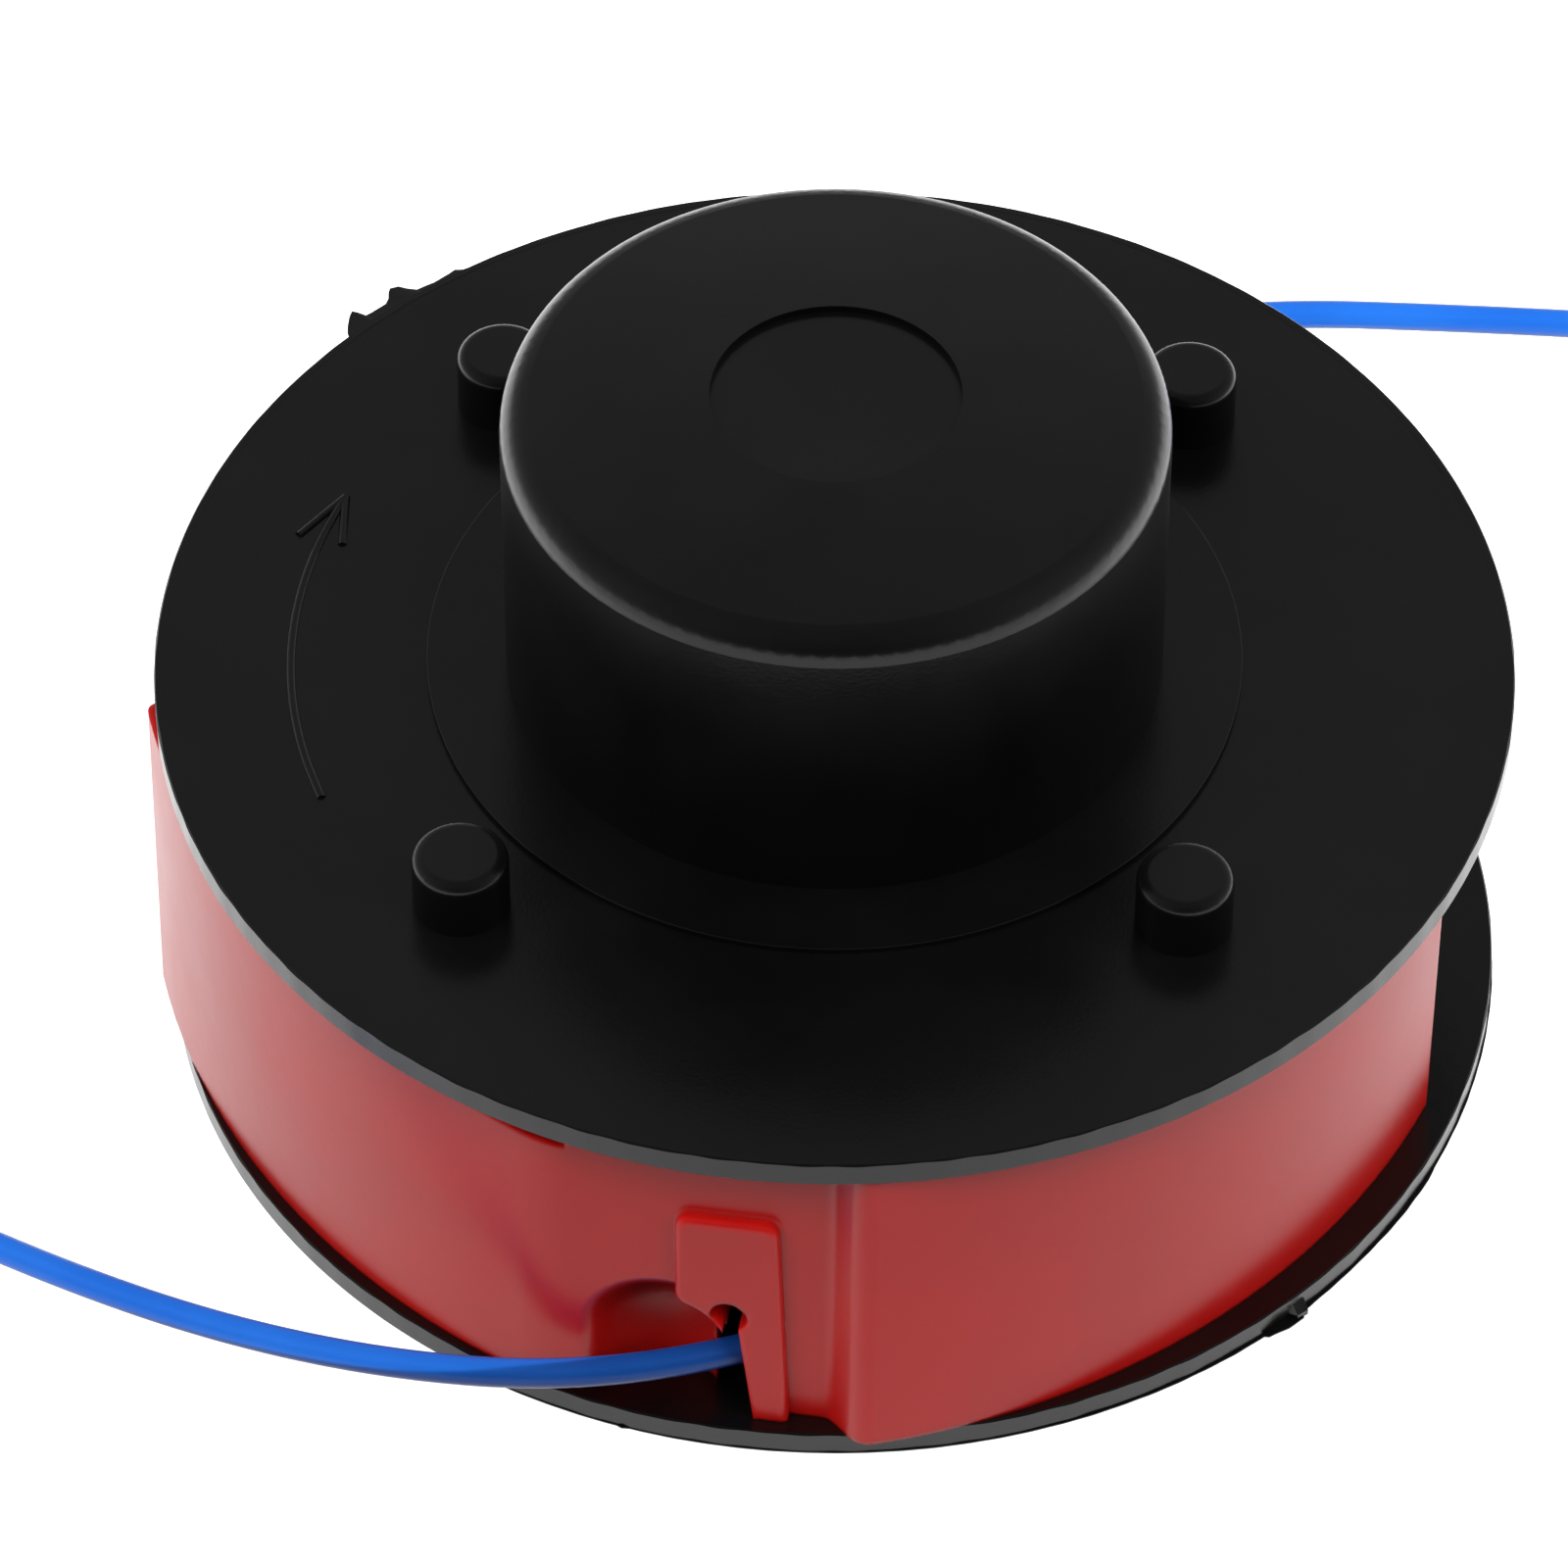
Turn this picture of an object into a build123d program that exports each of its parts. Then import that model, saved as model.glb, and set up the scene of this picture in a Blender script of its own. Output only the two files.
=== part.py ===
"""Trimmer line spool: a moulded spool with a closed knob, a line keeper, two windings and two line ends.

Millimetres, +Z up through the knob. The origin is on the spool's axis, on the underside of the lower
flange. The keeper's hook notch faces close to -Y.
"""
import math
import os

from build123d import *

# Line
line_diameter = 1.4
line_radius = line_diameter / 2

# Flanges and core
flange_radius = 32.0
flange_thickness = 1.3
flange_gap = 17.6
flange_edge_radius = 0.25
core_radius = 15.45
core_wall = 2.2

# Knob
knob_rise = 16.1
knob_crown = 1.0
knob_edge_radius = 1.5
knob_top_thickness = 2.4
dimple_radius = 5.8
dimple_depth = 0.35
collar_radius = 19.2
collar_rise = 0.3
collar_edge_radius = 0.05

# Pegs on the upper flange
peg_count = 4
peg_radius = 2.25
peg_height = 3.2
peg_circle_radius = 23.4
peg_start_angle = 43.3
peg_edge_radius = 0.55

# Divider between the two chambers, with the slot that holds the fold of the line
divider_clearance = 0.9
divider_thickness = 1.2
slot_width = 2.2
slot_length = 8.0
slot_angle = 140.0

# Windings
winding_inset = 1.0
winding_side_clearance = 0.1

# Line keeper, seen from outside with the hook notch in the middle
keeper_turn = -8.5
keeper_wall = 1.2
keeper_top_clearance = 0.15
keeper_lean = 0.9
left_span = 76.0
right_span = 77.3
tip_proud = 0.65
tip_corner_radius = 0.5
left_waist_angle = 40.0
left_waist_inset = 0.6
flat_inset = 1.3
flat_left = 8.7
flat_right = 4.5
flat_bend_radius = 6.0
step_radius = 1.0
shoulder_angle = 10.8
shoulder_proud = 0.72
shoulder_radius = 1.2
right_waist_angle = 44.0
right_waist_inset = 1.25
right_tip_inset = 1.38
dip_angle = 14.5
dip_length = 19.0
dip_depth = 1.55

# Pad, scoop, hook notch and line way in the keeper
pad_left = 2.6
pad_right = 2.7
pad_taper = 0.55
pad_height = 12.8
pad_rise = 0.6
pad_corner_radius = 0.7
pad_edge_radius = 0.3
pad_cutout_radius = 3.1
scoop_radius = 3.4
scoop_depth = 2.5
scoop_offset = 3.3
scoop_height = 4.2
scoop_wall = 0.7
scoop_edge_radius = 1.3
scoop_edge_lift = 0.03
hook_height = 6.65
hook_offset = 0.1
hook_length = 0.2
hook_width = 1.64
hook_tilt = -45.0
leg_offset = 1.1
leg_lean = 0.75
leg_thickness = 0.9
notch_height = 6.0
barb_offset = 0.4
barb_height = 4.6
lip_offset = 0.95
lip_height = 4.1
line_play = 0.4
line_way_height = 2.9

# Free line ends, as points on their centre lines
front_route = [
    (10.37, -22.64, 3.8),
    (3.0, -26.25, 4.0),
    (-4.8, -29.75, 4.25),
    (-12.5, -31.1, 4.25),
    (-20.5, -30.35, 4.2),
    (-28.5, -28.2, 4.2),
    (-36.5, -24.75, 4.25),
    (-44.5, -20.4, 4.35),
    (-50.5, -16.6, 4.5),
]
rear_route = [
    (-5.9, 24.19, 13.2),
    (4.0, 27.1, 13.2),
    (13.5, 29.6, 13.2),
    (22.0, 30.9, 13.15),
    (31.0, 30.5, 13.2),
    (39.5, 29.9, 13.25),
    (47.0, 28.9, 13.35),
]
bend_share = 0.45

# Levels, from the underside of the lower flange up
lower_floor = flange_thickness
upper_ceiling = lower_floor + flange_gap
upper_top = upper_ceiling + flange_thickness
collar_top = upper_top + collar_rise
peg_top = upper_top + peg_height
knob_edge = upper_top + knob_rise
knob_top = knob_edge + knob_crown
chamber_height = (flange_gap - divider_thickness) / 2
divider_floor = lower_floor + chamber_height
divider_top = divider_floor + divider_thickness
socket_ceiling = knob_edge - knob_top_thickness
keeper_height = flange_gap - keeper_top_clearance

# Distances from the axis, from the flange rims in
flat_distance = flange_radius - flat_inset
boss_back = flat_distance - scoop_depth - scoop_wall
divider_radius = boss_back - divider_clearance
winding_radius = divider_radius - winding_inset
socket_radius = core_radius - core_wall

os.makedirs("parts", exist_ok=True)


def crown_drop(radius):
    """How far the crowned knob top lies below its middle at a given radius."""
    sphere_radius = (core_radius**2 + knob_crown**2) / (2 * knob_crown)
    return sphere_radius - math.sqrt(sphere_radius**2 - radius**2)


# Spool
with BuildPart() as spool:
    with BuildSketch(Plane.XZ):
        with BuildLine():
            Polyline(
                (0, socket_ceiling),
                (socket_radius, socket_ceiling),
                (socket_radius, 0),
                (flange_radius, 0),
                (flange_radius, lower_floor),
                (core_radius, lower_floor),
                (core_radius, divider_floor),
                (divider_radius, divider_floor),
                (divider_radius, divider_top),
                (core_radius, divider_top),
                (core_radius, upper_ceiling),
                (flange_radius, upper_ceiling),
                (flange_radius, upper_top),
                (collar_radius, upper_top),
                (collar_radius, collar_top),
                (core_radius, collar_top),
                (core_radius, knob_edge),
            )
            ThreePointArc(
                (core_radius, knob_edge),
                (core_radius / 2, knob_top - crown_drop(core_radius / 2)),
                (0, knob_top),
            )
            Line((0, knob_top), (0, socket_ceiling))
        make_face()
    revolve(axis=Axis.Z)
    rims = spool.edges().filter_by(GeomType.CIRCLE)
    fillet(rims.filter_by(lambda e: abs(e.radius - flange_radius) < flange_edge_radius), flange_edge_radius)
    knob_rim = spool.edges().filter_by(GeomType.CIRCLE).filter_by(
        lambda e: abs(e.arc_center.Z - knob_edge) < flange_edge_radius
    )
    fillet(knob_rim, knob_edge_radius)
    collar_rim = spool.edges().filter_by(GeomType.CIRCLE).filter_by(
        lambda e: abs(e.radius - collar_radius) < flange_edge_radius and e.arc_center.Z > upper_top
    )
    fillet(collar_rim, collar_edge_radius)
    with BuildSketch(Plane.XY.offset(knob_top - crown_drop(dimple_radius) - dimple_depth)):
        Circle(dimple_radius)
    extrude(amount=knob_top, mode=Mode.SUBTRACT)
    with BuildSketch(Plane.XY.offset(upper_top)):
        with PolarLocations(peg_circle_radius, peg_count, start_angle=peg_start_angle):
            Circle(peg_radius)
    extrude(amount=peg_height)
    peg_rims = spool.edges().filter_by(GeomType.CIRCLE).filter_by(
        lambda e: abs(e.radius - peg_radius) + abs(e.arc_center.Z - peg_top) < peg_edge_radius
    )
    fillet(peg_rims, peg_edge_radius)
    with BuildSketch(Plane.XY.offset(divider_floor)):
        with PolarLocations(divider_radius, 1, start_angle=slot_angle):
            SlotOverall(2 * slot_length, slot_width)
    extrude(amount=divider_thickness, mode=Mode.SUBTRACT)
spool.part.label = "spool"
export_step(spool.part, "parts/spool.step")


# Free line ends
def bend_radii(route):
    """The largest even bend at each inner point of a route, a share of the shorter run beside it."""
    points = [Vector(point) for point in route]
    radii = []
    for before, here, after in zip(points, points[1:], points[2:]):
        arriving = here - before
        leaving = after - here
        shorter = min(arriving.length, leaving.length)
        half_turn = math.radians(arriving.get_angle(leaving)) / 2
        radii.append(bend_share * shorter / math.tan(half_turn))
    return radii


def draw_line(route, label):
    """A free end of line swept along its route."""
    radii = bend_radii(route)
    with BuildPart() as line_end:
        with BuildLine() as path:
            FilletPolyline(*route, radius=radii)
        with BuildSketch(Plane(route[0], z_dir=path.wire() % 0)):
            Circle(line_radius)
        sweep()
    length = path.wire().length
    volume_share = line_end.part.volume / (math.pi * line_radius**2 * length)
    print(label, "radii", [round(radius, 1) for radius in radii])
    print(label, "length", round(length, 2), "volume share", round(volume_share, 5))
    line_end.part.label = label
    export_step(line_end.part, "parts/" + label + ".step")
    return line_end.part


front_line_end = draw_line(front_route, "front_line_end")
rear_line_end = draw_line(rear_route, "rear_line_end")


# Windings, each with a ridge for every turn of its outer layer
def wind(floor_level, line_end):
    """The wound line of one chamber, with the bed that its own free end lies in."""
    room = chamber_height - 2 * winding_side_clearance
    turns = int(room / line_diameter)
    pitch = room / turns
    start_level = floor_level + winding_side_clearance
    valley_radius = winding_radius - line_radius
    with BuildPart() as winding:
        with BuildSketch(Plane.XZ):
            with Locations(((core_radius + valley_radius) / 2, start_level + room / 2)):
                Rectangle(valley_radius - core_radius, room)
            for turn in range(turns):
                with Locations((valley_radius, start_level + (turn + 1 / 2) * pitch)):
                    Circle(line_radius)
        revolve(axis=Axis.Z)
        add(line_end, mode=Mode.SUBTRACT)
    return winding.part


lower_winding = wind(lower_floor, front_line_end)
lower_winding.label = "lower_winding"
export_step(lower_winding, "parts/lower_winding.step")

upper_winding = wind(divider_top, rear_line_end)
upper_winding.label = "upper_winding"
export_step(upper_winding, "parts/upper_winding.step")


# Line keeper
def beside_hook(angle, radius):
    """A plan point at an angle from the hook notch, as seen from above with the notch towards -Y."""
    return (radius * math.sin(math.radians(angle)), -radius * math.cos(math.radians(angle)))


keeper_x = Vector(1, 0, 0).rotate(Axis.Z, keeper_turn)
keeper_out = Vector(0, -1, 0).rotate(Axis.Z, keeper_turn)
keeper_up = Vector(0, 0, keeper_height) - keeper_out * keeper_lean
keeper_floor = Plane((0, 0, lower_floor), x_dir=keeper_x, z_dir=(0, 0, 1))

left_tip = beside_hook(-left_span, flange_radius + tip_proud)
left_waist = beside_hook(-left_waist_angle, flange_radius - left_waist_inset)
flat_start = (-flat_left, -flat_distance)
flat_end = (flat_right, -flat_distance)
shoulder = beside_hook(shoulder_angle, flange_radius + shoulder_proud)
right_waist = beside_hook(right_waist_angle, flange_radius - right_waist_inset)
right_tip = beside_hook(right_span, flange_radius - right_tip_inset)

# The hook plane lies on the leaning flat, with its origin at the floor
flat_middle = keeper_floor.from_local_coords(Vector(0, -flat_distance))
hook_plane = Plane(flat_middle, x_dir=keeper_x, z_dir=keeper_x.cross(keeper_up))
scoop_level = scoop_radius - scoop_depth
edge_level = scoop_edge_lift - scoop_edge_radius
scoop_reach = math.sqrt((scoop_radius + scoop_edge_radius) ** 2 - (scoop_level - edge_level) ** 2)
scoop_slope = math.degrees(math.atan2(scoop_level - edge_level, scoop_reach))
scoop_middle = hook_plane.from_local_coords(Vector(-scoop_offset, scoop_height))
scoop_plane = Plane(scoop_middle, x_dir=keeper_x, z_dir=-keeper_up)
boss_width = 2 * scoop_radius
boss_height = scoop_height + scoop_radius
boss_depth = flat_distance - keeper_wall / 2 - boss_back

with BuildPart() as keeper:
    # Wall with its two wings, the flat and the shoulder beside it, leaning in towards the top
    with BuildSketch(keeper_floor):
        with BuildLine():
            ThreePointArc(left_tip, left_waist, flat_start)
            Polyline(flat_start, flat_end, shoulder)
            ThreePointArc(shoulder, right_waist, right_tip)
            offset(amount=keeper_wall, side=Side.LEFT)
        make_face()
    extrude(amount=keeper_up.length, dir=keeper_up)
    upright = Axis((0, 0, 0), keeper_up)
    ends = keeper.faces().sort_by(Axis((0, 0, 0), keeper_x))
    fillet((ends[0].edges() + ends[-1].edges()).filter_by(upright), tip_corner_radius)
    flat_bend = keeper_floor.from_local_coords(Vector(*flat_start))
    fillet(keeper.edges().filter_by(upright).sort_by_distance(flat_bend)[:2], flat_bend_radius)
    shoulder_corner = keeper_floor.from_local_coords(Vector(*shoulder))
    fillet(keeper.edges().filter_by(upright).sort_by_distance(shoulder_corner)[0], shoulder_radius)
    step_corner = keeper_floor.from_local_coords(Vector(*flat_end))
    fillet(keeper.edges().filter_by(upright).sort_by_distance(step_corner)[0], step_radius)
    # Boss behind the scoop
    with BuildSketch(keeper_floor):
        with Locations((-scoop_offset, -boss_back - boss_depth / 2)):
            Rectangle(boss_width, boss_depth)
    extrude(amount=boss_height)
    # Scoop with a round top and soft edges that leads the line away to the left
    with BuildSketch(scoop_plane) as half_scoop:
        with BuildLine():
            CenterArc((0, scoop_level), scoop_radius, -90, 90 - scoop_slope)
            CenterArc((scoop_reach, edge_level), scoop_edge_radius, 180 - scoop_slope, scoop_slope - 90)
            Polyline((scoop_reach, scoop_edge_lift), (scoop_reach, scoop_radius), (0, scoop_radius))
            Line((0, scoop_radius), (0, -scoop_depth))
        make_face()
    revolve(axis=Axis(scoop_middle, hook_plane.z_dir), revolution_arc=180, mode=Mode.SUBTRACT)
    with BuildSketch(scoop_plane):
        add(half_scoop.sketch_local)
        mirror(about=Plane.YZ)
    extrude(amount=2 * scoop_height, mode=Mode.SUBTRACT)
    # Pad on the flat, cut out round the scoop
    with BuildSketch(hook_plane) as pad_outline:
        with BuildLine():
            Polyline(
                (-pad_left, scoop_height),
                (-pad_left, pad_height),
                (pad_right - pad_taper, pad_height),
                (pad_right, 0),
                (-lip_offset, 0),
                (-lip_offset, scoop_height),
                close=True,
            )
        make_face()
        fillet(pad_outline.vertices().group_by(Axis.Y)[-1], pad_corner_radius)
        with Locations((-scoop_offset, scoop_height)):
            Circle(pad_cutout_radius, mode=Mode.SUBTRACT)
        fillet(pad_outline.vertices().group_by(Axis.X)[0].sort_by(Axis.Y)[0], pad_corner_radius)
    extrude(amount=pad_rise)
    # Root of the pad, over the soft edge of the scoop
    with BuildSketch(hook_plane):
        add(pad_outline.sketch_local)
        Rectangle(2 * flange_radius, 2 * scoop_height, mode=Mode.SUBTRACT)
    extrude(amount=-scoop_depth / 2)
    pad_middle = hook_plane.from_local_coords(Vector(0, pad_height - pad_left, pad_rise))
    pad_foot = hook_plane.from_local_coords(Vector(-lip_offset, 0, pad_rise))
    pad_edges = keeper.faces().sort_by_distance(pad_middle)[0].edges()
    fillet(pad_edges.sort_by_distance(pad_foot)[2:], pad_edge_radius)
    # Hook notch, open at the bottom edge, with a round eye at its top
    with BuildSketch(hook_plane):
        with BuildLine():
            Polyline(
                (leg_offset, 0),
                (leg_offset - leg_lean, notch_height),
                (-barb_offset, notch_height),
                (-barb_offset, barb_height),
                (-lip_offset, lip_height),
                (-lip_offset, 0),
                close=True,
            )
        make_face()
        with Locations((-hook_offset, hook_height)):
            SlotCenterToCenter(hook_length, hook_width, rotation=hook_tilt)
    extrude(amount=flange_radius - boss_back, both=True, mode=Mode.SUBTRACT)
    # Way for the line behind the leg of the hook
    with BuildSketch(hook_plane.offset(pad_rise - leg_thickness)):
        with Locations((pad_right / 2, line_way_height)):
            Rectangle(pad_right, line_diameter + 2 * line_play)
    extrude(amount=-keeper_wall - pad_rise, mode=Mode.SUBTRACT)
    # Sloping relief in the top edge of the left wing
    dip_plane = Plane(
        keeper_floor.from_local_coords(Vector(0, 0, keeper_height)),
        x_dir=keeper_x.rotate(Axis.Z, -dip_angle),
        z_dir=keeper_out.rotate(Axis.Z, -dip_angle),
    )
    with BuildSketch(dip_plane):
        with BuildLine():
            Polyline((-dip_length, 0), (0, -dip_depth), (0, 0), close=True)
        make_face()
    extrude(amount=2 * flange_radius, mode=Mode.SUBTRACT)
keeper.part.label = "line_keeper"
export_step(keeper.part, "parts/line_keeper.step")
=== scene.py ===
"""Looks of the trimmer line spool: finishes, wound line, free ends, raised arrow, flash and studio."""
import math

import bpy
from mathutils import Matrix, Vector


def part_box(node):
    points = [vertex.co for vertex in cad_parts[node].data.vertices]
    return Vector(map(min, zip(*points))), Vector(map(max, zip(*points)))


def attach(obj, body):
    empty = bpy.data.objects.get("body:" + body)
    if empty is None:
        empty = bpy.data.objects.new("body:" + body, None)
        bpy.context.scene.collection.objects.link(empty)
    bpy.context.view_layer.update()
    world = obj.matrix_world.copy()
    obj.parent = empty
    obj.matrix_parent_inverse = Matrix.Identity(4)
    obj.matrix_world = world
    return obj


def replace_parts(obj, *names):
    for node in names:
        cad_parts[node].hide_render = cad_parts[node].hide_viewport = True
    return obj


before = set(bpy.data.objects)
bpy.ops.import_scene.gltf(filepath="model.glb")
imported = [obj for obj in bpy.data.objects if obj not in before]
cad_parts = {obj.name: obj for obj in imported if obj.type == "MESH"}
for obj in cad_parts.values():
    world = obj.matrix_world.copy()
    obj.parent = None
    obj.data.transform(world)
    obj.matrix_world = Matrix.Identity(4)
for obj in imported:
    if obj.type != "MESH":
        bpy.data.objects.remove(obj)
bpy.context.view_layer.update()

# Lengths are in metres, angles in degrees about the spool's axis
MM = 0.001
FULL_TURN = 360.0

# Camera
CAMERA_PLACE = Vector((0.0, -0.29078, 0.31770))
CAMERA_AIM = Vector((-0.002338, -0.004468, 0.015907))
CAMERA_LENS = 202.8
CAMERA_NEAR = 0.01
CAMERA_FAR = 10.0

# Spool
FLANGE_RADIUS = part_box("spool")[1].x
FLANGE_TOP = 20.2 * MM
FLANGE_THICKNESS = 1.3 * MM

# Free line ends, as control points of their curves
LINE_DIAMETER = 0.0014
FRONT_ROUTE = [
    (0.01037, -0.02264, 0.0038),
    (0.0030, -0.02625, 0.0040),
    (-0.0048, -0.02975, 0.00425),
    (-0.0125, -0.0311, 0.00425),
    (-0.0205, -0.03035, 0.0042),
    (-0.0285, -0.0282, 0.0042),
    (-0.0365, -0.02475, 0.00425),
    (-0.0445, -0.0204, 0.00435),
    (-0.0505, -0.0166, 0.0045),
]
REAR_ROUTE = [
    (-0.0059, 0.02419, 0.0132),
    (0.0040, 0.0271, 0.0132),
    (0.0135, 0.0296, 0.0132),
    (0.0220, 0.0309, 0.01315),
    (0.0310, 0.0305, 0.0132),
    (0.0395, 0.0299, 0.01325),
    (0.0470, 0.0289, 0.01335),
]

# Wound line, with its sway in and up in radians a step
TURN_PITCH = 1.6 * MM
LAYER_STEP = 1.25 * MM
STEPS_PER_TURN = 48
WOBBLE = 0.05 * MM
SWAY_IN = 0.31
SWAY_UP = 0.23

# Raised arrow on the upper flange
ARROW_RADIUS = 25.6 * MM
ARROW_START = 202.0
ARROW_TIP = 156.4
ARROW_STEP = 3.8
BARB_ANGLE = 163.4
BARB_SPREAD = 1.1 * MM
BEAD_RADIUS = 0.24 * MM
BEAD_DEPTH = 0.08 * MM

# Fineness of the tubes, round their section and along their route
LINE_END_FINENESS = (6, 24)
WINDING_FINENESS = (3, 2)
BEAD_FINENESS = (4, 6)
ROUTE_ORDER = 3

# Uneven moulded edges of the flanges
EDGE_COVER = 0.01 * MM
EDGE_CLEARANCE = 0.02 * MM
LOWER_EDGE = (EDGE_CLEARANCE, FLANGE_THICKNESS + EDGE_COVER)
UPPER_EDGE = (FLANGE_TOP - FLANGE_THICKNESS - EDGE_COVER, FLANGE_TOP + EDGE_COVER)
EDGE_DEPTH = 0.4 * MM
EDGE_LIFT = 0.015 * MM
EDGE_BEVEL = 0.07 * MM
EDGE_STEPS = 720
EDGE_WAVES = (23, 61, 97)
EDGE_WAVER = 0.006 * MM
BEVEL_WAVER = 2 * EDGE_WAVER

# Moulding flash, as angles and reaches beyond the rim in millimetres
UPPER_FLASH = [
    (138.0, 0.0),
    (137.7, 0.27),
    (137.0, 0.62),
    (136.2, 1.0),
    (135.6, 1.18),
    (135.35, 0.9),
    (135.1, 0.46),
    (134.5, 0.4),
    (132.9, 0.43),
    (132.3, 0.62),
    (131.8, 0.95),
    (131.4, 1.13),
    (130.7, 1.0),
    (130.3, 0.62),
    (129.7, 0.21),
    (128.0, 0.1),
    (126.3, 0.16),
    (125.6, 0.24),
    (125.0, 0.03),
    (124.6, 0.0),
]
LOWER_FLASH = [
    (-125.0, 0.0),
    (-118.0, 0.05),
    (-108.0, 0.06),
    (-107.5, 0.15),
    (-106.8, 0.06),
    (-90.0, 0.06),
    (-75.0, 0.08),
    (-60.0, 0.12),
    (-50.8, 0.14),
    (-50.5, 0.32),
    (-48.6, 0.48),
    (-46.9, 0.5),
    (-46.4, 0.2),
    (-40.0, 0.12),
    (-28.0, 0.2),
    (-26.5, 0.1),
    (-5.0, 0.1),
    (10.0, 0.08),
    (14.0, 0.0),
]
GATE_MARK = [
    (-47.9, 0.0),
    (-47.5, 0.4),
    (-46.4, 0.45),
    (-46.0, 0.0),
]
FLASH_ROOT = 0.3 * MM
FLASH_STEP = 0.25
FLASH_WAVER = 0.015 * MM
FLASH_WAVES = (0.9, 2.3)

# Lowest and highest level of each piece of flash, at its root and at its tip
UPPER_FLASH_LEVELS = (
    (FLANGE_TOP - 0.25 * MM, FLANGE_TOP + 0.02 * MM),
    (FLANGE_TOP - 0.14 * MM, FLANGE_TOP - 0.04 * MM),
)
LOWER_FLASH_LEVELS = ((0.01 * MM, 0.14 * MM), (0.03 * MM, 0.1 * MM))
GATE_MARK_LEVELS = ((0.1 * MM, 1.27 * MM), (0.08 * MM, 0.4 * MM))

# Noise in the finishes: the range that it mostly keeps to, and its finer parts
NOISE_RANGE = (0.3, 0.7)
PATCH_DETAIL = 3.0
FINE_DETAIL = 2.0

# Black plastic of the spool
BLACK_COLORS = ((0.0018, 0.0018, 0.0019), (0.0026, 0.0026, 0.0025))
BLACK_ROUGHNESS = (0.23, 0.26)
BLACK_PATCHES = 140.0
BLACK_WAVES = 350.0
BLACK_WAVE_DEPTH = 0.006 * MM
BLACK_GRAIN = 5000.0
BLACK_GRAIN_DEPTH = 0.006 * MM

# Red plastic of the line keeper
RED_COLORS = ((0.43, 0.006, 0.005), (0.47, 0.008, 0.006))
RED_ROUGHNESS = (0.28, 0.33)
RED_PATCHES = 120.0
RED_WAVES = 300.0
RED_WAVE_DEPTH = 0.02 * MM
RED_GRAIN = 3500.0
RED_GRAIN_DEPTH = 0.003 * MM
RED_EDGE_RADIUS = 0.35 * MM
RED_EDGE_SAMPLES = 8
RED_GLOSS = 0.33
RED_SCATTER = 0.6
RED_SCATTER_REACH = (1.0, 0.12, 0.1)
RED_SCATTER_SCALE = 1.2 * MM

# Blue nylon of the line
BLUE_COLORS = ((0.015, 0.145, 0.66), (0.019, 0.17, 0.72))
BLUE_ROUGHNESS = (0.28, 0.33)
BLUE_PATCHES = 160.0
BLUE_STREAKS = 2500.0
BLUE_STREAK_DEPTH = 0.002 * MM
BLUE_CLARITY = 0.7
BLUE_IOR = 1.35

# Floor, with its glow from the front to the back of the spool
FLOOR_REACH = 3.0
FLOOR_COLOR = (0.3, 0.3, 0.3, 1.0)
FLOOR_ROUGHNESS = 0.9
FLOOR_FADE = (-0.06, 0.02)
FLOOR_GLOW = (0.62, 1.6)
GLOW_COLOR = (1.0, 1.0, 1.0, 1.0)

# Tent: heights with their light, from below the horizon to overhead, and its dimming to the front
TENT_LIGHT = [(0.0, 0.5), (0.002, 1.6), (0.05, 1.1), (0.15, 0.42), (0.5, 0.27), (0.7, 0.23), (1.0, 0.1)]
TENT_FADE = (-1.0, 0.0)
TENT_SHARE = (0.1, 1.0)

# Lamps
LAMP_PLACE = Vector((0.68, -0.38, 0.95))
LAMP_SIZE = 1.0
LAMP_POWER = 15.0


def ring_point(angle, radius, level):
    """A point at an angle and a distance from the spool's axis."""
    turn = math.radians(angle)
    return Vector((radius * math.cos(turn), radius * math.sin(turn), level))


def look_from(place, aim):
    """The turn of a camera or a lamp that looks from one point to another."""
    return (aim - place).to_track_quat("-Z", "Y").to_euler()


def add_camera():
    """The camera at the photograph's viewing angle."""
    data = bpy.data.cameras.new("camera")
    data.lens = CAMERA_LENS
    data.clip_start = CAMERA_NEAR
    data.clip_end = CAMERA_FAR
    camera = bpy.data.objects.new("camera", data)
    camera.location = CAMERA_PLACE
    camera.rotation_euler = look_from(CAMERA_PLACE, CAMERA_AIM)
    bpy.context.scene.collection.objects.link(camera)
    bpy.context.scene.camera = camera


def new_material(name):
    """A node material with its shader."""
    material = bpy.data.materials.new(name)
    material.use_nodes = True
    return material, material.node_tree, material.node_tree.nodes["Principled BSDF"]


def coordinates(tree, kind):
    """The three coordinates of the place that is shaded."""
    place = tree.nodes.new("ShaderNodeTexCoord")
    parts = tree.nodes.new("ShaderNodeSeparateXYZ")
    tree.links.new(place.outputs[kind], parts.inputs["Vector"])
    return parts.outputs


def noise(tree, scale, detail=FINE_DETAIL):
    """Even noise through the object, from 0 to 1."""
    place = tree.nodes.new("ShaderNodeTexCoord")
    texture = tree.nodes.new("ShaderNodeTexNoise")
    texture.inputs["Scale"].default_value = scale
    texture.inputs["Detail"].default_value = detail
    tree.links.new(place.outputs["Object"], texture.inputs["Vector"])
    return texture.outputs["Fac"]


def mottle(tree, value, colors):
    """A colour that goes from one to another as the noise grows."""
    node = tree.nodes.new("ShaderNodeValToRGB")
    node.color_ramp.interpolation = "EASE"
    for element, position, color in zip(node.color_ramp.elements, NOISE_RANGE, colors):
        element.position = position
        element.color = (*color, 1.0)
    tree.links.new(value, node.inputs["Fac"])
    return node.outputs["Color"]


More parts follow.
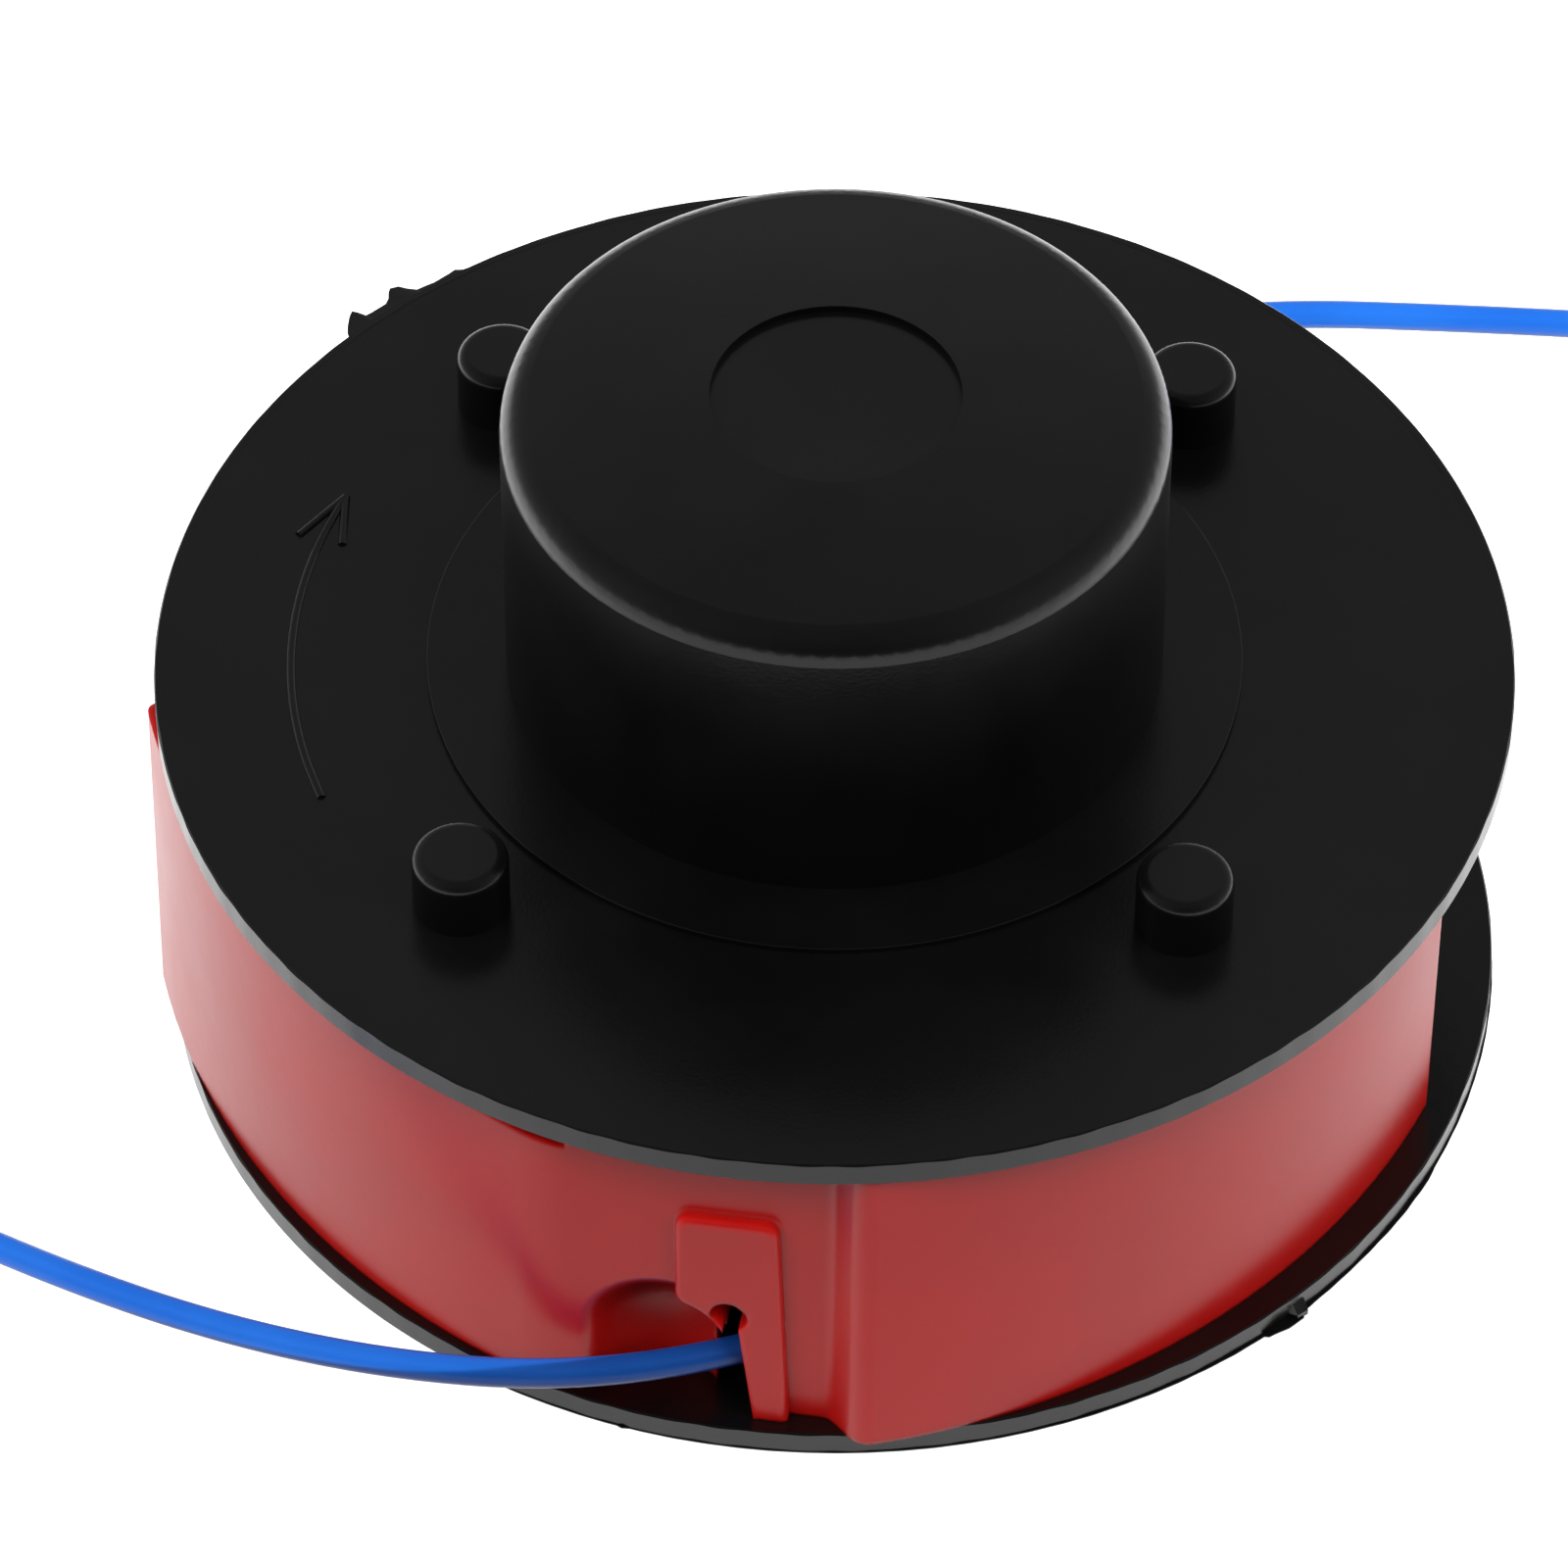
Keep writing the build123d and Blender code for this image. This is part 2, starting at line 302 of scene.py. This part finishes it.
def spread(tree, value, source, target, easing="SMOOTHSTEP"):
    """A value moved from one range to another."""
    node = tree.nodes.new("ShaderNodeMapRange")
    node.interpolation_type = easing
    node.inputs["From Min"].default_value = source[0]
    node.inputs["From Max"].default_value = source[1]
    node.inputs["To Min"].default_value = target[0]
    node.inputs["To Max"].default_value = target[1]
    tree.links.new(value, node.inputs["Value"])
    return node.outputs["Result"]


def bump(tree, height, depth, under=None):
    """A small relief, on top of another where there is one."""
    node = tree.nodes.new("ShaderNodeBump")
    node.inputs["Strength"].default_value = 1.0
    node.inputs["Distance"].default_value = depth
    tree.links.new(height, node.inputs["Height"])
    if under is not None:
        tree.links.new(under, node.inputs["Normal"])
    return node.outputs["Normal"]


def soft_edges(tree):
    """Edges that catch the light as rounded ones do."""
    node = tree.nodes.new("ShaderNodeBevel")
    node.samples = RED_EDGE_SAMPLES
    node.inputs["Radius"].default_value = RED_EDGE_RADIUS
    return node.outputs["Normal"]


def spool_plastic():
    """Black moulded plastic with a fine, even grain."""
    material, tree, shader = new_material("spool_plastic")
    patches = noise(tree, BLACK_PATCHES, PATCH_DETAIL)
    waves = bump(tree, noise(tree, BLACK_WAVES), BLACK_WAVE_DEPTH)
    grain = bump(tree, noise(tree, BLACK_GRAIN), BLACK_GRAIN_DEPTH, waves)
    tree.links.new(mottle(tree, patches, BLACK_COLORS), shader.inputs["Base Color"])
    tree.links.new(spread(tree, patches, NOISE_RANGE, BLACK_ROUGHNESS), shader.inputs["Roughness"])
    tree.links.new(grain, shader.inputs["Normal"])
    return material


def keeper_plastic():
    """Red moulded plastic that lets a little light in."""
    material, tree, shader = new_material("keeper_plastic")
    patches = noise(tree, RED_PATCHES, PATCH_DETAIL)
    waves = bump(tree, noise(tree, RED_WAVES), RED_WAVE_DEPTH, soft_edges(tree))
    grain = bump(tree, noise(tree, RED_GRAIN), RED_GRAIN_DEPTH, waves)
    tree.links.new(mottle(tree, patches, RED_COLORS), shader.inputs["Base Color"])
    tree.links.new(spread(tree, patches, NOISE_RANGE, RED_ROUGHNESS), shader.inputs["Roughness"])
    tree.links.new(grain, shader.inputs["Normal"])
    shader.inputs["Specular IOR Level"].default_value = RED_GLOSS
    shader.inputs["Subsurface Weight"].default_value = RED_SCATTER
    shader.inputs["Subsurface Radius"].default_value = RED_SCATTER_REACH
    shader.inputs["Subsurface Scale"].default_value = RED_SCATTER_SCALE
    return material


def line_nylon():
    """Blue nylon line, smooth and slightly see-through."""
    material, tree, shader = new_material("line_nylon")
    patches = noise(tree, BLUE_PATCHES)
    streaks = noise(tree, BLUE_STREAKS)
    tree.links.new(mottle(tree, patches, BLUE_COLORS), shader.inputs["Base Color"])
    tree.links.new(spread(tree, streaks, NOISE_RANGE, BLUE_ROUGHNESS), shader.inputs["Roughness"])
    tree.links.new(bump(tree, streaks, BLUE_STREAK_DEPTH), shader.inputs["Normal"])
    shader.inputs["Transmission Weight"].default_value = BLUE_CLARITY
    shader.inputs["IOR"].default_value = BLUE_IOR
    return material


def add_piece(name, data, material):
    """A piece of the object, on its only body."""
    data.materials.append(material)
    piece = bpy.data.objects.new(name, data)
    bpy.context.scene.collection.objects.link(piece)
    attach(piece, "root")
    return piece


def new_tube(name, radius, fineness):
    """A curve with a round section, to which routes are added."""
    data = bpy.data.curves.new(name, "CURVE")
    data.dimensions = "3D"
    data.bevel_depth = radius
    data.bevel_resolution, data.resolution_u = fineness
    data.use_fill_caps = True
    return data


def add_route(data, route):
    """A smooth route along a curve's control points."""
    spline = data.splines.new("NURBS")
    spline.points.add(len(route) - 1)
    for point, place in zip(spline.points, route):
        point.co = (*place, 1.0)
    spline.order_u = ROUTE_ORDER
    spline.use_endpoint_u = True


def add_line_end(name, node, route, material):
    """A free end of line on a smooth curve, cut off square at its far end."""
    data = new_tube(name, LINE_DIAMETER / 2, LINE_END_FINENESS)
    add_route(data, route)
    piece = add_piece(name, data, material)
    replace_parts(piece, node)


def add_winding(name, node, end, material):
    """The wound line of a chamber: three layers, up and down, out to where the free end starts."""
    low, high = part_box(node)
    outer = high.x - LINE_DIAMETER / 2
    bottom = low.z + TURN_PITCH / 2
    top = high.z - TURN_PITCH / 2
    layers = [
        (outer - 2 * LAYER_STEP, top, bottom),
        (outer - LAYER_STEP, bottom, top),
        (outer, top, end[2]),
    ]
    places = []
    for radius, start, stop in layers:
        steps = round(abs(stop - start) / TURN_PITCH * STEPS_PER_TURN)
        places += [(radius, start + (stop - start) * step / steps) for step in range(steps)]
    places.append((outer, end[2]))
    end_angle = math.degrees(math.atan2(end[1], end[0]))
    route = []
    for index, (radius, level) in enumerate(places):
        left = len(places) - 1 - index
        wobble = WOBBLE * min(left / STEPS_PER_TURN, 1.0)
        radius -= wobble * (1 + math.sin(SWAY_IN * left))
        level += wobble * math.sin(SWAY_UP * left)
        route.append(ring_point(end_angle + left * FULL_TURN / STEPS_PER_TURN, radius, level))
    data = new_tube(name, LINE_DIAMETER / 2, WINDING_FINENESS)
    add_route(data, route)
    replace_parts(add_piece(name, data, material), node)


def add_arrow(material):
    """The raised arrow that shows which way the line is wound."""
    level = FLANGE_TOP - BEAD_DEPTH
    data = new_tube("winding_arrow", BEAD_RADIUS, BEAD_FINENESS)
    steps = round((ARROW_START - ARROW_TIP) / ARROW_STEP)
    turn = (ARROW_TIP - ARROW_START) / steps
    angles = [ARROW_START + turn * step for step in range(steps + 1)]
    add_route(data, [ring_point(angle, ARROW_RADIUS, level) for angle in angles])
    tip = ring_point(ARROW_TIP, ARROW_RADIUS, level)
    for side in (-1, 1):
        barb = ring_point(BARB_ANGLE, ARROW_RADIUS + side * BARB_SPREAD, level)
        add_route(data, [barb, barb.lerp(tip, 0.5), tip])
    add_piece("winding_arrow", data, material)


def add_mesh(name, vertices, faces, material):
    """A mesh piece of the spool."""
    mesh = bpy.data.meshes.new(name)
    mesh.from_pydata(vertices, [], faces)
    mesh.update()
    add_piece(name, mesh, material)


def ring_faces(sections, corners):
    """The sides of a run of sections, each with the same number of corners, closed on itself."""
    faces = []
    for section in range(sections):
        first = corners * section
        second = corners * ((section + 1) % sections)
        for corner in range(corners):
            after = (corner + 1) % corners
            faces.append((first + after, first + corner, second + corner, second + after))
    return faces


def add_edge(name, levels, material):
    """The rim of a flange, with the uneven edge that the mould leaves."""
    bottom, top = levels
    inner = FLANGE_RADIUS - EDGE_DEPTH
    vertices = []
    for step in range(EDGE_STEPS):
        angle = FULL_TURN * step / EDGE_STEPS
        ripple = sum(math.sin(math.radians(wave * angle)) for wave in EDGE_WAVES)
        outer = FLANGE_RADIUS + EDGE_LIFT + EDGE_WAVER * ripple
        bevel = EDGE_BEVEL + BEVEL_WAVER * ripple
        vertices += [
            ring_point(angle, inner, top),
            ring_point(angle, outer - bevel, top),
            ring_point(angle, outer, top - bevel),
            ring_point(angle, outer, bottom + bevel),
            ring_point(angle, outer - bevel, bottom),
            ring_point(angle, inner, bottom),
        ]
    faces = ring_faces(EDGE_STEPS, len(vertices) // EDGE_STEPS)
    add_mesh(name, vertices, [face[::-1] for face in faces], material)


def add_flash(name, outline, levels, material):
    """Thin plastic squeezed out along a rim, with a wavering edge."""
    sections = []
    for (start, start_reach), (stop, stop_reach) in zip(outline, outline[1:]):
        steps = max(1, round(abs(stop - start) / FLASH_STEP))
        for step in range(steps):
            share = step / steps
            reach = (start_reach + (stop_reach - start_reach) * share) * MM
            sections.append((start + (stop - start) * share, reach))
    sections.append((outline[-1][0], 0.0))
    (root_low, root_high), (tip_low, tip_high) = levels
    root = FLANGE_RADIUS - FLASH_ROOT
    vertices = []
    for angle, reach in sections:
        ripple = sum(math.sin(wave * angle) for wave in FLASH_WAVES)
        tip = FLANGE_RADIUS + reach + FLASH_WAVER * ripple * min(reach / FLASH_ROOT, 1.0)
        vertices += [
            ring_point(angle, root, root_high),
            ring_point(angle, tip, tip_high),
            ring_point(angle, tip, tip_low),
            ring_point(angle, root, root_low),
        ]
    corners = len(vertices) // len(sections)
    sides = ring_faces(len(sections), corners)[:-corners]
    first_end = tuple(range(corners))
    last_end = tuple(len(vertices) - 1 - corner for corner in range(corners))
    add_mesh(name, vertices, sides + [first_end, last_end], material)


def add_floor():
    """A plain pale floor that glows as a light table does, but casts no light on matt surfaces."""
    mesh = bpy.data.meshes.new("floor")
    corners = [
        (-FLOOR_REACH, -FLOOR_REACH, 0),
        (FLOOR_REACH, -FLOOR_REACH, 0),
        (FLOOR_REACH, FLOOR_REACH, 0),
        (-FLOOR_REACH, FLOOR_REACH, 0),
    ]
    mesh.from_pydata(corners, [], [(0, 1, 2, 3)])
    floor = bpy.data.objects.new("floor", mesh)
    floor.visible_diffuse = False
    bpy.context.scene.collection.objects.link(floor)
    material, tree, shader = new_material("floor")
    shader.inputs["Base Color"].default_value = FLOOR_COLOR
    shader.inputs["Roughness"].default_value = FLOOR_ROUGHNESS
    shader.inputs["Specular IOR Level"].default_value = 0.0
    shader.inputs["Emission Color"].default_value = GLOW_COLOR
    glow = spread(tree, coordinates(tree, "Object")["Y"], FLOOR_FADE, FLOOR_GLOW)
    tree.links.new(glow, shader.inputs["Emission Strength"])
    mesh.materials.append(material)


def add_surroundings():
    """A white tent: bright near the horizon, dim overhead and on the camera's side."""
    world = bpy.data.worlds.new("tent")
    world.use_nodes = True
    bpy.context.scene.world = world
    tree = world.node_tree
    background = tree.nodes["Background"]
    place = coordinates(tree, "Generated")
    node = tree.nodes.new("ShaderNodeValToRGB")
    elements = node.color_ramp.elements
    for height, _ in TENT_LIGHT[1:-1]:
        elements.new(height)
    for element, (_, light) in zip(elements, TENT_LIGHT):
        element.color = (light, light, light, 1.0)
    tree.links.new(place["Z"], node.inputs["Fac"])
    tree.links.new(node.outputs["Color"], background.inputs["Color"])
    front = spread(tree, place["Y"], TENT_FADE, TENT_SHARE, "LINEAR")
    tree.links.new(front, background.inputs["Strength"])


def add_lamps():
    """Two large soft lamps high up at the front, seen neither in mirror images nor through the line."""
    for side in (-1, 1):
        data = bpy.data.lights.new("lamp", "AREA")
        data.size = LAMP_SIZE
        data.energy = LAMP_POWER
        lamp = bpy.data.objects.new("lamp", data)
        lamp.location = (side * LAMP_PLACE.x, LAMP_PLACE.y, LAMP_PLACE.z)
        lamp.rotation_euler = look_from(lamp.location, Vector())
        lamp.visible_glossy = False
        lamp.visible_transmission = False
        bpy.context.scene.collection.objects.link(lamp)


add_camera()
add_surroundings()
add_lamps()
add_floor()
black = spool_plastic()
red = keeper_plastic()
blue = line_nylon()
for node, material in {"spool": black, "line_keeper": red}.items():
    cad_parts[node].data.materials.clear()
    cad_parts[node].data.materials.append(material)
add_winding("lower_turns", "lower_winding", FRONT_ROUTE[0], blue)
add_winding("upper_turns", "upper_winding", REAR_ROUTE[0], blue)
add_line_end("front_line", "front_line_end", FRONT_ROUTE, blue)
add_line_end("rear_line", "rear_line_end", REAR_ROUTE, blue)
add_arrow(black)
add_edge("lower_edge", LOWER_EDGE, black)
add_edge("upper_edge", UPPER_EDGE, black)
add_flash("upper_flash", UPPER_FLASH, UPPER_FLASH_LEVELS, black)
add_flash("lower_flash", LOWER_FLASH, LOWER_FLASH_LEVELS, black)
add_flash("gate_mark", GATE_MARK, GATE_MARK_LEVELS, black)
bpy.context.scene.view_settings.view_transform = "Standard"
